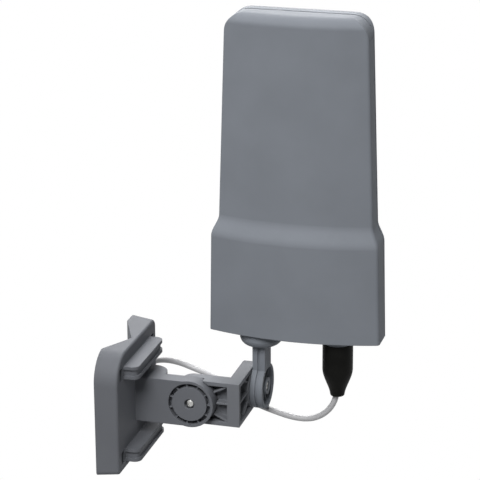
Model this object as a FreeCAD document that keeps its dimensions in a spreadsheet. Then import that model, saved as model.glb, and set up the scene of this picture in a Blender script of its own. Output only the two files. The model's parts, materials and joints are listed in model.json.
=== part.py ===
import FreeCAD, Part
import math
import os

import Sketcher
from FreeCAD import Placement, Rotation, Vector

# Wall-mounted television antenna: a flat aerial housing on a stem, an L-shaped link and a wall bracket.
# Millimetres. +X points out of the wall, the aerial faces -Y, +Z is up.
# The origin is the middle of the wall bracket's back face.

doc = FreeCAD.newDocument("television_antenna")

# Driving dimensions, one aliased cell each
SIZES = {
    # wall bracket
    "plate_depth": 16.0,
    "plate_front": 84.4,
    "plate_back": 87.6,
    "plate_near_top_r": 20.0,
    "plate_far_top_r": 6.0,
    "plate_low_r": 3.5,
    "plate_edge_r": 1.8,
    "notch_width": 54.0,
    "notch_depth": 12.5,
    "bar_length": 58.0,
    "bar_reach": 10.4,
    "bar_height": 9.2,
    "bar_end_r": 5.0,
    "bar_groove_depth": 1.2,
    "bar_groove_height": 4.4,
    "upper_bar_z": 28.6,
    "lower_bar_z": -32.2,
    "strap_slot_gap": 1.8,
    "strap_slot_width": 5.4,
    "strap_slot_height": 8.6,
    "back_pocket_width": 8.5,
    "back_pocket_depth": 12.0,
    "back_pocket_height": 11.0,
    "back_pocket_z": 16.5,
    "arm_thickness": 10.6,
    "arm_height": 32.8,
    "arm_reach": 39.0,
    "arm_disc_r": 17.0,
    "root_boss_r": 11.6,
    "root_boss_out": 7.5,
    "root_boss_far": 7.2,
    # ring of slots in a knuckle's outer face
    "ring_inner_r": 12.4,
    "ring_outer_r": 15.0,
    "ring_depth": 4.5,
    "ring_ribs": 11,
    "ring_rib_width": 1.0,
    "ring_rib_drop": 1.3,
    # clamp bolts
    "bolt_r": 2.0,
    "bolt_head_r": 2.9,
    "bolt_head_height": 2.0,
    "bolt_socket_r": 1.5,
    "bolt_socket_depth": 1.1,
    "bolt_recess_r": 3.6,
    "bolt_recess_depth": 2.4,
    "nut_corner_r": 4.0,
    "nut_height": 3.2,
    "washer_r": 4.6,
    "washer_thickness": 0.8,
    "bolt_tail": 1.6,
    "fit_gap": 0.3,
    "pin_clearance": 0.06,
    "cut_relief": 1.0,
    # link bracket
    "link_height": 31.8,
    "link_reach": 34.2,
    "link_leg_thickness": 6.4,
    "link_near_y": 0.3,
    "link_disc_r": 16.0,
    "link_wall": 8.8,
    "link_flange": 2.9,
    "link_floor": 5.0,
    "link_cross_thickness": 9.3,
    "link_cross_floor": 3.3,
    "link_depth": 40.6,
    "link_rim_gap": 0.5,
    "link_rib_width": 1.3,
    "link_rib_drop": 1.0,
    "link_rib_angle": 27.0,
    "link_horn_reach": 8.0,
    # stem
    "stem_thickness": 9.0,
    "stem_width": 15.6,
    "stem_disc_r": 16.0,
    "stem_groove_width": 1.6,
    "stem_groove_depth": 1.0,
    "stem_height": 42.2,
    "stem_hub_r": 6.0,
    "stem_dish_r": 13.4,
    "stem_dish_depth": 5.4,
    "stem_dish_ribs": 10,
    "stem_dish_rib_drop": 2.6,
    "flange_r": 15.0,
    "flange_rim": 5.0,
    "flange_bowl": 5.2,
    "flange_bowl_r": 6.4,
    "spigot_r": 5.0,
    "swivel_washer_r": 9.0,
    "swivel_washer_thickness": 1.2,
    "swivel_screw_r": 1.8,
    "swivel_screw_length": 12.0,
    # aerial housing
    "stem_offset": 25.5,
    "socket_offset": 29.0,
    "seam_setback": 7.4,
    "seam_width": 1.6,
    "seam_recess": 1.2,
    "wall": 2.2,
    "floor_thickness": 2.5,
    "skirt_height": 69.0,
    "shoulder_height": 83.5,
    "housing_height": 225.0,
    "top_edge_height": 7.0,
    "top_edge_depth": 10.0,
    "foot_half": 60.2,
    "skirt_half": 58.6,
    "upper_half": 53.9,
    "crown_half": 49.4,
    "foot_depth": 26.5,
    "skirt_depth": 27.3,
    "upper_depth": 22.0,
    "crown_depth": 20.6,
    "front_r": 200.0,
    "skirt_corner_r": 2.8,
    "upper_corner_r": 2.6,
    "crown_corner_r": 2.6,
    "top_corner_r": 14.0,
    "back_depth": 8.5,
    "back_corner_r": 7.5,
    "screw_boss_r": 3.6,
    "screw_r": 1.4,
    "screw_head_r": 2.8,
    "screw_head_height": 1.7,
    "screw_length": 15.0,
    "screw_recess": 2.6,
    "low_screw_x": 49.0,
    "low_screw_z": 10.0,
    "mid_screw_gap": 5.0,
    "mid_screw_z": 104.0,
    "high_screw_x": 38.0,
    "high_screw_drop": 22.0,
    # circuit
    "board_width": 78.0,
    "board_top_gap": 30.5,
    "board_thickness": 1.6,
    "board_foot": 12.5,
    "board_corner": 34.0,
    "post_r": 3.0,
    "post_screw_r": 1.1,
    "post_screw_head_r": 2.2,
    "post_screw_length": 6.0,
    "post_inset": 5.0,
    "radiator_width": 70.0,
    "radiator_strip": 9.0,
    "radiator_thickness": 0.8,
    "radiator_stand": 5.0,
    "upper_radiator_height": 62.0,
    "upper_radiator_z": 118.0,
    "lower_radiator_height": 44.0,
    "lower_radiator_z": 62.0,
    "shield_width": 46.0,
    "shield_height": 30.0,
    "shield_depth": 5.0,
    "shield_wall": 0.6,
    "shield_z": 24.0,
    # F socket, plug and boot
    "socket_r": 4.7,
    "socket_bore_r": 1.0,
    "socket_drop": 14.5,
    "socket_flange_r": 7.0,
    "socket_flange_height": 2.0,
    "socket_block": 9.0,
    "socket_block_height": 15.0,
    "socket_nut_corner_r": 6.35,
    "socket_nut_height": 2.4,
    "socket_washer_r": 7.2,
    "socket_washer_thickness": 0.8,
    "collar_r": 10.5,
    "collar_bore_r": 8.0,
    "collar_height": 4.0,
    "plug_nut_corner_r": 6.35,
    "plug_nut_height": 10.0,
    "plug_nut_drop": 4.2,
    "ferrule_r": 3.7,
    "ferrule_length": 13.5,
    "boot_r": 10.6,
    "boot_tip_r": 4.8,
    "boot_length": 39.5,
    "boot_straight": 24.4,
    "boot_waist_r": 8.0,
    "boot_cavity_r": 7.2,
    "boot_cavity_depth": 17.5,
    "boot_throat_r": 4.0,
    "boot_throat_depth": 28.0,
    "boot_tip_bore_r": 2.9,
    "cable_d": 4.2,
    "cable_bore_clearance": 0.15,
    "cable_entry_x": 9.5,
    "cable_entry_z": 5.0,
    "cable_entry_depth": 7.0,
}

sheet = doc.addObject("Spreadsheet::Sheet", "Sizes")
for row, (alias, number) in enumerate(SIZES.items(), start=1):
    sheet.set(f"A{row}", alias)
    sheet.set(f"B{row}", str(number))
    sheet.setAlias(f"B{row}", alias)
doc.recompute()

# Places worked out from the driving dimensions
PLATE_FRONT = "Sizes.plate_depth"
ROLL_X = "(Sizes.plate_depth + Sizes.arm_reach)"
ARM_NEAR = "(Sizes.arm_thickness / 2)"
MATE_Y = "(Sizes.arm_thickness / 2 + Sizes.fit_gap)"
LINK_FAR = f"({MATE_Y} + Sizes.link_leg_thickness)"
CORNER_X = f"({ROLL_X} + Sizes.link_reach)"
TILT_Y = "Sizes.link_depth"
STEM_X = f"({CORNER_X} + Sizes.fit_gap + Sizes.stem_thickness / 2)"
HOUSING_X = f"({STEM_X} + Sizes.stem_offset)"
SOCKET_X = f"({HOUSING_X} + Sizes.socket_offset)"
FOOT_Z = "(Sizes.stem_height + Sizes.fit_gap)"
FLOOR_Z = f"({FOOT_Z} + Sizes.floor_thickness)"
SEAM_Y = f"({TILT_Y} + Sizes.seam_setback)"
FRONT_RIM = "(Sizes.seam_width / 2)"
BOOT_TOP = f"({FOOT_Z} - Sizes.collar_height)"
BOARD_Y = f"({TILT_Y} + 2)"
BOARD_HEIGHT = "(Sizes.housing_height - Sizes.board_foot - Sizes.board_top_gap)"
CABLE_R = "(Sizes.cable_d / 2)"

ALONG_Y = Rotation(Vector(1, 0, 0), -90)
AGAINST_Y = Rotation(Vector(1, 0, 0), 90)
ALONG_X = Rotation(Vector(0, 1, 0), 90)
UPRIGHT = Rotation()
UPSIDE_DOWN = Rotation(Vector(1, 0, 0), 180)

SHOULDER_STEPS = (0, 0.25, 0.5, 0.75, 1)
TOP_EDGE_ANGLES = (0, 30, 60, 90)

sub_parts = []


def number(expression):
    """The value of an expression on the sheet, as a float."""
    return float(sheet.evalExpression(str(expression)))


def place(thing, x="0", y="0", z="0", turn=UPRIGHT):
    """Binds an object's place to expressions."""
    thing.Placement = Placement(Vector(), turn)
    for axis, expression in zip("xyz", (x, y, z)):
        thing.setExpression(f"Placement.Base.{axis}", str(expression))
    return thing


def keep(thing, label):
    """Names a finished sub-part."""
    thing.Label = label
    sub_parts.append(thing)
    return thing


def new_body(label, x="0", y="0", z="0", turn=UPRIGHT):
    body = doc.addObject("PartDesign::Body", label)
    place(body, x, y, z, turn)
    return keep(body, label)


def sketch(body, name, plane, lift="0", across="0", up="0"):
    """A sketch on one of the body's own planes, lifted along the plane's normal."""
    support = next(f for f in body.Origin.OriginFeatures if f.Role == f"{plane}_Plane")
    made = body.newObject("Sketcher::SketchObject", name)
    made.AttachmentSupport = (support, "")
    made.MapMode = "FlatFace"
    for axis, expression in zip("xyz", (across, up, lift)):
        made.setExpression(f"AttachmentOffset.Base.{axis}", str(expression))
    return made


def fix(drawing, kind, value, *where):
    """Adds a driving constraint bound to an expression."""
    index = drawing.addConstraint(Sketcher.Constraint(kind, *where, number(value)))
    drawing.setExpression(f"Constraints[{index}]", str(value))


def circle(drawing, x, y, radius):
    centre = Vector(number(x), number(y), 0)
    made = drawing.addGeometry(Part.Circle(centre, Vector(0, 0, 1), number(radius)), False)
    fix(drawing, "DistanceX", x, -1, 1, made, 3)
    fix(drawing, "DistanceY", y, -1, 1, made, 3)
    fix(drawing, "Radius", radius, made)


def arc_between(start, end, radius, large=False):
    """The arc that runs anticlockwise from start to end."""
    middle = (start + end) / 2
    half = (end - start).Length / 2
    rise = math.sqrt(max(radius * radius - half * half, 0.0))
    left = Vector(0, 0, 1).cross(end - start).normalize()
    centre = middle - left * rise if large else middle + left * rise
    first = math.atan2(start.y - centre.y, start.x - centre.x)
    last = math.atan2(end.y - centre.y, end.x - centre.x)
    return Part.ArcOfCircle(Part.Circle(centre, Vector(0, 0, 1), radius), first, last)


def outline(drawing, corners):
    """A closed outline, anticlockwise. A corner is (x, y), or (x, y, radius) where an arc leaves it.

    A third entry such as "hollow 5" bends the arc inwards, and "large 5" takes the long way round.
    """
    points = [Vector(number(c[0]), number(c[1]), 0) for c in corners]
    ends = []
    for index, corner in enumerate(corners):
        start, end = points[index], points[(index + 1) % len(points)]
        if len(corner) == 2:
            made = drawing.addGeometry(Part.LineSegment(start, end), False)
            ends.append((made, 1, 2))
            continue
        words = str(corner[2]).split(" ", 1)
        manner = words[0] if words[0] in ("hollow", "large") else ""
        radius = words[1] if manner else corner[2]
        if manner == "hollow":
            made = drawing.addGeometry(arc_between(end, start, number(radius)), False)
            ends.append((made, 2, 1))
        else:
            made = drawing.addGeometry(arc_between(start, end, number(radius), manner == "large"), False)
            ends.append((made, 1, 2))
        fix(drawing, "Radius", radius, made)
    for index, (made, first, last) in enumerate(ends):
        following, opening, _ = ends[(index + 1) % len(ends)]
        drawing.addConstraint(Sketcher.Constraint("Coincident", made, last, following, opening))
    for (made, first, last), corner in zip(ends, corners):
        fix(drawing, "DistanceX", corner[0], -1, 1, made, first)
        fix(drawing, "DistanceY", corner[1], -1, 1, made, first)


def rectangle(drawing, x0, y0, x1, y1):
    outline(drawing, [(x0, y0), (x1, y0), (x1, y1), (x0, y1)])


def feature(body, kind, drawing, length, name, back=False, both=False):
    made = body.newObject(f"PartDesign::{kind}", name)
    made.Profile = (drawing, [""])
    made.setExpression("Length", str(length))
    made.Reversed = back
    if both:
        made.SideType = "Symmetric"
    return made


def pad(body, drawing, length, back=False, both=False):
    return feature(body, "Pad", drawing, length, f"{drawing.Name}_pad", back, both)


def pocket(body, drawing, depth, back=False, both=False):
    return feature(body, "Pocket", drawing, depth, f"{drawing.Name}_cut", back, both)


def spin(body, drawing):
    """A solid of revolution about the drawing's upright axis."""
    made = body.newObject("PartDesign::Revolution", f"{drawing.Name}_turned")
    made.Profile = (drawing, [""])
    made.ReferenceAxis = (drawing, ["V_Axis"])
    made.Angle = 360.0
    return made


def around(body, original, drawing, count, angle="360"):
    """Repeats a feature about the drawing's own normal."""
    made = body.newObject("PartDesign::PolarPattern", f"{original.Name}_ring")
    made.Originals = [original]
    made.Axis = (drawing, ["N_Axis"])
    made.setExpression("Angle", str(angle))
    made.setExpression("Occurrences", str(count))
    body.Tip = made
    return made


def loft(body, sections, name, hollow=False, smooth=False):
    kind = "SubtractiveLoft" if hollow else "AdditiveLoft"
    made = body.newObject(f"PartDesign::{kind}", name)
    made.Profile = (sections[0], [""])
    made.Sections = [(section, [""]) for section in sections[1:]]
    made.Ruled = not smooth
    return made


def stacked_form(body, name, section):
    """The housing's outer form in four runs, each a loft through the sections that section(...) draws."""
    for index, run in enumerate(housing_levels()):
        drawings = [section(f"{name}_{index}_{i}", *row) for i, row in enumerate(run)]
        loft(body, drawings, f"{name}_form_{index}", smooth=len(run) > 2)


def soften(body, radius, chosen, name):
    """Rounds those edges of the body's present solid for which chosen(edge) is true."""
    doc.recompute()
    base = body.Tip
    edges = [f"Edge{i}" for i, edge in enumerate(base.Shape.Edges, start=1) if chosen(edge)]
    made = body.newObject("PartDesign::Fillet", name)
    made.Base = (base, edges)
    made.setExpression("Radius", str(radius))
    return made


def cylinder(name, radius, height, x="0", y="0", z="0", turn=UPRIGHT):
    made = doc.addObject("Part::Cylinder", name)
    made.setExpression("Radius", str(radius))
    made.setExpression("Height", str(height))
    return place(made, x, y, z, turn)


def cut(label, base, tool):
    made = doc.addObject("Part::Cut", label)
    made.Base = base
    made.Tool = tool
    return made


def washer(label, radius, bore, thickness, x, y, z, turn):
    disc = cylinder(f"{label}_disc", radius, thickness, x, y, z, turn)
    hole = cylinder(f"{label}_hole", bore, thickness, x, y, z, turn)
    return keep(cut(label, disc, hole), label)


def hex_nut(label, corner_r, bore, height, x, y, z, turn):
    prism = doc.addObject("Part::Prism", f"{label}_hexagon")
    prism.Polygon = 6
    prism.setExpression("Circumradius", str(corner_r))
    prism.setExpression("Height", str(height))
    place(prism, x, y, z, turn)
    hole = cylinder(f"{label}_thread", bore, height, x, y, z, turn)
    return keep(cut(label, prism, hole), label)


def bolt(label, radius, length, x, y, z, turn):
    """A domed socket-head bolt whose head seats at its own z = 0 and whose shank runs down from there."""
    body = new_body(label, x, y, z, turn)
    profile = sketch(body, f"{label}_profile", "XZ")
    dome = "(Sizes.bolt_head_height * 0.45)"
    dome_r = f"((Sizes.bolt_head_r ^ 2 + {dome} ^ 2) / (2 * {dome}))"
    outline(profile, [
        ("0", f"-({length})"),
        (radius, f"-({length})"),
        (radius, "0"),
        ("Sizes.bolt_head_r", "0"),
        ("Sizes.bolt_head_r", f"Sizes.bolt_head_height - {dome}", dome_r),
        ("0", "Sizes.bolt_head_height"),
    ])
    spin(body, profile)
    socket = sketch(body, f"{label}_socket", "XY", "Sizes.bolt_head_height")
    turns = [60 * side for side in range(6)]
    outline(socket, [
        (f"Sizes.bolt_socket_r * cos({turn_by})", f"Sizes.bolt_socket_r * sin({turn_by})")
        for turn_by in turns
    ])
    pocket(body, socket, "Sizes.bolt_socket_depth")
    return body


def slot_ring(body, name, x, face):
    """A broken ring of slots in a knuckle's outer face, with short ribs set below the face."""
    ring = sketch(body, f"{name}_ring", "XZ", face, x)
    circle(ring, "0", "0", "Sizes.ring_outer_r")
    circle(ring, "0", "0", "Sizes.ring_inner_r")
    pocket(body, ring, "Sizes.ring_depth")
    rib = sketch(body, f"{name}_rib", "XZ", f"{face} - Sizes.ring_rib_drop", x)
    rectangle(
        rib,
        "Sizes.ring_inner_r - Sizes.ring_rib_width / 2",
        "-Sizes.ring_rib_width / 2",
        "Sizes.ring_outer_r + Sizes.ring_rib_width / 2",
        "Sizes.ring_rib_width / 2",
    )
    ribs = pad(body, rib, "Sizes.ring_depth - Sizes.ring_rib_drop", back=True)
    around(body, ribs, rib, "Sizes.ring_ribs")


def saddle_bar(body, name, height):
    """A bar across the plate's front, rounded in plan, with a channel for a mast strap."""
    root = f"{PLATE_FRONT} - Sizes.cut_relief"
    tip = f"({PLATE_FRONT} + Sizes.bar_reach)"
    half = "(Sizes.bar_length / 2)"
    radius = "Sizes.bar_end_r"
    plan = sketch(body, f"{name}_plan", "XY", f"{height} - Sizes.bar_height / 2")
    outline(plan, [
        (root, f"-{half}"),
        (f"{tip} - {radius}", f"-{half}", radius),
        (tip, f"-{half} + {radius}"),
        (tip, f"{half} - {radius}", radius),
        (f"{tip} - {radius}", half),
        (root, half),
    ])
    pad(body, plan, "Sizes.bar_height")
    groove = "Sizes.bar_groove_depth"
    inner = f"({half} - {groove})"
    inner_tip = f"({tip} - {groove})"
    inner_r = f"({radius} - {groove})"
    outside = f"({half} + Sizes.cut_relief)"
    beyond = f"{tip} + Sizes.cut_relief"
    channel = sketch(body, f"{name}_channel", "XY", f"{height} + Sizes.bar_groove_height / 2")
    outline(channel, [
        (PLATE_FRONT, f"-{outside}"),
        (beyond, f"-{outside}"),
        (beyond, outside),
        (PLATE_FRONT, outside),
        (PLATE_FRONT, inner),
        (f"{tip} - {radius}", inner, f"hollow {inner_r}"),
        (inner_tip, f"{half} - {radius}"),
        (inner_tip, f"-{half} + {radius}", f"hollow {inner_r}"),
        (f"{tip} - {radius}", f"-{inner}"),
        (PLATE_FRONT, f"-{inner}"),
    ])
    pocket(body, channel, "Sizes.bar_groove_height")


def wall_bracket():
    """Plate with mast notch, strap bars and arm, moulded as one piece."""
    body = new_body("wall_bracket")
    half = "(Sizes.plate_back / 2)"
    back = sketch(body, "plate_outline", "YZ")
    rectangle(back, f"-{half}", f"-{half}", half, half)
    plate = pad(body, back, "Sizes.plate_depth")
    plate.setExpression(
        "TaperAngle", "-atan((Sizes.plate_back - Sizes.plate_front) / 2 / Sizes.plate_depth)"
    )
    reach = number("Sizes.plate_front / 2 - 0.1")
    for radius, name, wanted in (
        ("Sizes.plate_near_top_r", "plate_near_top", lambda at: at.y < -reach and at.z > reach),
        ("Sizes.plate_far_top_r", "plate_far_top", lambda at: at.y > reach and at.z > reach),
        ("Sizes.plate_low_r", "plate_low_corners", lambda at: abs(at.y) > reach and at.z < -reach),
    ):
        soften(body, radius, lambda e: e.BoundBox.XLength > 1 and wanted(e.CenterOfMass), name)
    soften(
        body,
        "Sizes.plate_edge_r",
        lambda e: e.BoundBox.XMin > number("Sizes.plate_depth - 0.01"),
        "plate_front_edge",
    )
    relief = "Sizes.cut_relief"
    mouth = f"(Sizes.notch_width / 2 * (1 + {relief} / Sizes.notch_depth))"
    notch = sketch(body, "mast_notch", "XY")
    outline(notch, [(f"-{relief}", f"-{mouth}"), ("Sizes.notch_depth", "0"), (f"-{relief}", mouth)])
    pocket(body, notch, f"Sizes.plate_back + 2 * {relief}", both=True)

    slots = sketch(body, "strap_slots", "YZ", f"{PLATE_FRONT} + {relief}")
    inner = "(Sizes.bar_length / 2 + Sizes.strap_slot_gap)"
    outer = f"({inner} + Sizes.strap_slot_width)"
    for height in ("Sizes.upper_bar_z", "Sizes.lower_bar_z"):
        low = f"{height} - Sizes.strap_slot_height / 2"
        high = f"{height} + Sizes.strap_slot_height / 2"
        rectangle(slots, inner, low, outer, high)
        rectangle(slots, f"-{outer}", low, f"-{inner}", high)
    pocket(body, slots, f"Sizes.plate_depth + 2 * {relief}")

    hollows = sketch(body, "back_hollows", "YZ")
    side = "(Sizes.notch_width / 2 + Sizes.plate_back / 2) / 2"
    for across in (f"({side})", f"(-{side})"):
        for height in ("Sizes.back_pocket_z", "-Sizes.back_pocket_z"):
            rectangle(
                hollows,
                f"{across} - Sizes.back_pocket_width / 2",
                f"{height} - Sizes.back_pocket_height / 2",
                f"{across} + Sizes.back_pocket_width / 2",
                f"{height} + Sizes.back_pocket_height / 2",
            )
    pocket(body, hollows, "Sizes.back_pocket_depth", back=True)

    saddle_bar(body, "upper_bar", "Sizes.upper_bar_z")
    saddle_bar(body, "lower_bar", "Sizes.lower_bar_z")

    arm = sketch(body, "arm_side", "XZ")
    rectangle(arm, f"{PLATE_FRONT} - {relief}", "-Sizes.arm_height / 2", ROLL_X, "Sizes.arm_height / 2")
    pad(body, arm, "Sizes.arm_thickness", both=True)
    disc = sketch(body, "arm_disc", "XZ")
    circle(disc, ROLL_X, "0", "Sizes.arm_disc_r")
    pad(body, disc, "Sizes.arm_thickness", both=True)
    root = sketch(body, "arm_root", "XY")
    circle(root, f"{PLATE_FRONT} + Sizes.root_boss_out", "Sizes.root_boss_far", "Sizes.root_boss_r")
    pad(body, root, "Sizes.arm_height", both=True)

    slot_ring(body, "arm", ROLL_X, ARM_NEAR)
    recess = sketch(body, "arm_bolt_recess", "XZ", ARM_NEAR, ROLL_X)
    circle(recess, "0", "0", "Sizes.bolt_recess_r")
    pocket(body, recess, "Sizes.bolt_recess_depth")
    hole = sketch(body, "arm_bolt_hole", "XZ", ARM_NEAR, ROLL_X)
    circle(hole, "0", "0", "Sizes.bolt_r + Sizes.pin_clearance")
    pocket(body, hole, f"Sizes.arm_thickness + {relief}")

    entry = sketch(body, "cable_entry", "XZ", f"-({half} + {relief})")
    circle(entry, "Sizes.cable_entry_x", "Sizes.cable_entry_z", f"{CABLE_R} + Sizes.cable_bore_clearance")
    pocket(body, entry, f"Sizes.cable_entry_depth + {relief}", back=True)
    return body


def rib_spoke(body, name, plane, face, across, depth, angle, inner_r, outer_r):
    """A straight rib that leaves a knuckle at an angle and stands below the face round it."""
    drawing = sketch(body, name, plane, face, across)
    half = "(Sizes.link_rib_width / 2)"
    corners = []
    for radius, side in ((inner_r, "-"), (outer_r, "-"), (outer_r, ""), (inner_r, "")):
        corners.append((
            f"{radius} * cos({angle}) - ({side}{half}) * sin({angle})",
            f"{radius} * sin({angle}) + ({side}{half}) * cos({angle})",
        ))
    outline(drawing, corners)
    pad(body, drawing, depth, back=True)


def link_bracket():
    """L-shaped link: a leg that clamps to the arm and a crosswise leg that carries the stem."""
    body = new_body("link_bracket")
    half = "(Sizes.link_height / 2)"
    relief = "Sizes.cut_relief"
    leg = sketch(body, "link_leg", "XZ", f"-{MATE_Y}")
    rectangle(leg, ROLL_X, f"-{half}", CORNER_X, half)
    pad(body, leg, "Sizes.link_leg_thickness", back=True)
    disc = sketch(body, "link_disc", "XZ", f"-{MATE_Y}")
    circle(disc, ROLL_X, "0", "Sizes.link_disc_r")
    pad(body, disc, "Sizes.link_leg_thickness", back=True)
    cross = sketch(body, "link_cross", "YZ", CORNER_X)
    rectangle(cross, "Sizes.link_near_y", f"-{half}", TILT_Y, half)
    pad(body, cross, "Sizes.link_cross_thickness", back=True)
    end = sketch(body, "link_cross_disc", "YZ", CORNER_X)
    circle(end, TILT_Y, "0", "Sizes.link_disc_r")
    pad(body, end, "Sizes.link_cross_thickness", back=True)

    near = "-Sizes.link_near_y"
    block = sketch(body, "link_near_block", "XZ", near)
    rectangle(block, f"{ROLL_X} + Sizes.link_horn_reach", f"-{half}", CORNER_X, half)
    pad(body, block, f"{LINK_FAR} - Sizes.link_near_y", back=True)
    sweep_room = sketch(body, "link_disc_room", "XZ", f"{near} + {relief}")
    circle(sweep_room, ROLL_X, "0", "Sizes.arm_disc_r + Sizes.link_rim_gap")
    pocket(body, sweep_room, f"{MATE_Y} - Sizes.link_near_y + {relief}")

    seat = "(Sizes.link_disc_r + Sizes.link_rim_gap)"
    lip = f"({half} - Sizes.link_flange)"
    arc_x = f"sqrt({seat} ^ 2 - {lip} ^ 2)"
    wall_x = "(Sizes.link_reach - Sizes.link_wall)"
    hollow = sketch(body, "link_near_hollow", "XZ", near, ROLL_X)
    outline(hollow, [
        (arc_x, f"-{lip}"),
        (wall_x, f"-{lip}"),
        (wall_x, lip),
        (arc_x, lip, f"hollow {seat}"),
    ])
    hollow_depth = f"({LINK_FAR} - Sizes.link_near_y - Sizes.link_floor)"
    pocket(body, hollow, hollow_depth)
    rib_start = "(Sizes.arm_disc_r + Sizes.link_rim_gap)"
    for index, angle in enumerate(("(-Sizes.link_rib_angle)", "0", "Sizes.link_rib_angle")):
        rib_spoke(
            body, f"link_near_rib_{index}", "XZ", f"{near} - Sizes.link_rib_drop", ROLL_X,
            f"{hollow_depth} - Sizes.link_rib_drop", angle, rib_start, f"({wall_x} / cos({angle}))",
        )

    cross_hollow = sketch(body, "link_cross_hollow", "YZ", CORNER_X, TILT_Y)
    wall_y = f"({TILT_Y} - Sizes.link_near_y - Sizes.link_flange)"
    outline(cross_hollow, [
        (f"-{wall_y}", f"-{lip}"),
        (f"-{arc_x}", f"-{lip}", f"hollow {seat}"),
        (f"-{arc_x}", lip),
        (f"-{wall_y}", lip),
    ])
    cross_depth = "(Sizes.link_cross_thickness - Sizes.link_cross_floor)"
    pocket(body, cross_hollow, cross_depth)
    spoke_end = f"({lip} / sin(Sizes.link_rib_angle))"
    for index, (angle, length) in enumerate((
        ("(180 - Sizes.link_rib_angle)", spoke_end),
        ("180", wall_y),
        ("(180 + Sizes.link_rib_angle)", spoke_end),
    )):
        rib_spoke(
            body, f"link_cross_rib_{index}", "YZ", f"{CORNER_X} - Sizes.link_rib_drop", TILT_Y,
            f"{cross_depth} - Sizes.link_rib_drop", angle, seat, length,
        )

    roll_hole = sketch(body, "link_roll_hole", "XZ", f"-{MATE_Y} + {relief}", ROLL_X)
    circle(roll_hole, "0", "0", "Sizes.bolt_r + Sizes.pin_clearance")
    pocket(body, roll_hole, f"Sizes.link_leg_thickness + 2 * {relief}")
    tilt_hole = sketch(body, "link_tilt_hole", "YZ", f"{CORNER_X} + {relief}", TILT_Y)
    circle(tilt_hole, "0", "0", "Sizes.bolt_r + Sizes.pin_clearance")
    pocket(body, tilt_hole, f"Sizes.link_cross_thickness + 2 * {relief}")
    return body


def stem():
    """Short post with a clamp disc below and a bowl-shaped flange that carries the housing."""
    body = new_body("stem", STEM_X, TILT_Y)
    half = "(Sizes.stem_thickness / 2)"
    side = "(Sizes.stem_width / 2)"
    bowl_z = "(Sizes.stem_height - Sizes.flange_rim - Sizes.flange_bowl)"
    disc = sketch(body, "stem_disc", "YZ")
    circle(disc, "0", "0", "Sizes.stem_disc_r")
    pad(body, disc, "Sizes.stem_thickness", both=True)
    post = sketch(body, "stem_post", "YZ")
    rectangle(post, f"-{side}", "0", side, f"{bowl_z} + Sizes.cut_relief")
    pad(body, post, "Sizes.stem_thickness", both=True)

    # groove round the edge, halfway between the faces
    depth = "Sizes.stem_groove_depth"
    relief = "Sizes.cut_relief"
    inner_r = f"(Sizes.stem_disc_r - {depth})"
    inner_side = f"({side} - {depth})"
    shoulder = f"sqrt({inner_r} ^ 2 - {inner_side} ^ 2)"
    beyond = f"(Sizes.stem_disc_r + {relief})"
    groove = sketch(body, "stem_groove", "YZ")
    rectangle(groove, f"-{beyond}", f"-{beyond}", beyond, bowl_z)
    outline(groove, [
        (inner_side, shoulder),
        (inner_side, f"{bowl_z} - {relief}"),
        (f"-{inner_side}", f"{bowl_z} - {relief}"),
        (f"-{inner_side}", shoulder, f"large {inner_r}"),
    ])
    pocket(body, groove, "Sizes.stem_groove_width", both=True)

    top = "Sizes.stem_height"
    rim_z = f"({top} - Sizes.flange_rim)"
    bowl = sketch(body, "stem_bowl", "XZ")
    outline(bowl, [
        ("0", f"{bowl_z} - {relief}"),
        ("Sizes.spigot_r", f"{bowl_z} - {relief}"),
        (half, bowl_z),
        (side, bowl_z, "Sizes.flange_bowl_r"),
        ("Sizes.flange_r", rim_z),
        ("Sizes.flange_r", top),
        ("Sizes.spigot_r", top),
        ("Sizes.spigot_r", f"{top} + Sizes.floor_thickness + 2 * Sizes.fit_gap"),
        ("0", f"{top} + Sizes.floor_thickness + 2 * Sizes.fit_gap"),
    ])
    spin(body, bowl)

    dish = sketch(body, "stem_dish", "YZ", half)
    circle(dish, "0", "0", "Sizes.stem_dish_r")
    circle(dish, "0", "0", "Sizes.stem_hub_r")
    pocket(body, dish, "Sizes.stem_dish_depth")
    rib = sketch(body, "stem_dish_rib", "YZ", f"{half} - Sizes.stem_dish_rib_drop")
    rib_half = "(Sizes.ring_rib_width / 2)"
    rectangle(
        rib,
        f"Sizes.stem_hub_r - {rib_half}",
        f"-{rib_half}",
        f"Sizes.stem_dish_r + {rib_half}",
        rib_half,
    )
    spokes = pad(body, rib, "Sizes.stem_dish_depth - Sizes.stem_dish_rib_drop", back=True)
    around(body, spokes, rib, "Sizes.stem_dish_ribs")
    recess = sketch(body, "stem_bolt_recess", "YZ", half)
    circle(recess, "0", "0", "Sizes.bolt_recess_r")
    pocket(body, recess, "Sizes.bolt_recess_depth")
    hole = sketch(body, "stem_bolt_hole", "YZ", half)
    circle(hole, "0", "0", "Sizes.bolt_r + Sizes.pin_clearance")
    pocket(body, hole, f"Sizes.stem_thickness + {relief}")
    thread = sketch(body, "stem_screw_hole", "XY", f"{top} + Sizes.floor_thickness + {relief}")
    circle(thread, "0", "0", "Sizes.swivel_screw_r + Sizes.pin_clearance")
    pocket(body, thread, f"Sizes.swivel_screw_length + 2 * {relief}")
    return body


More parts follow.
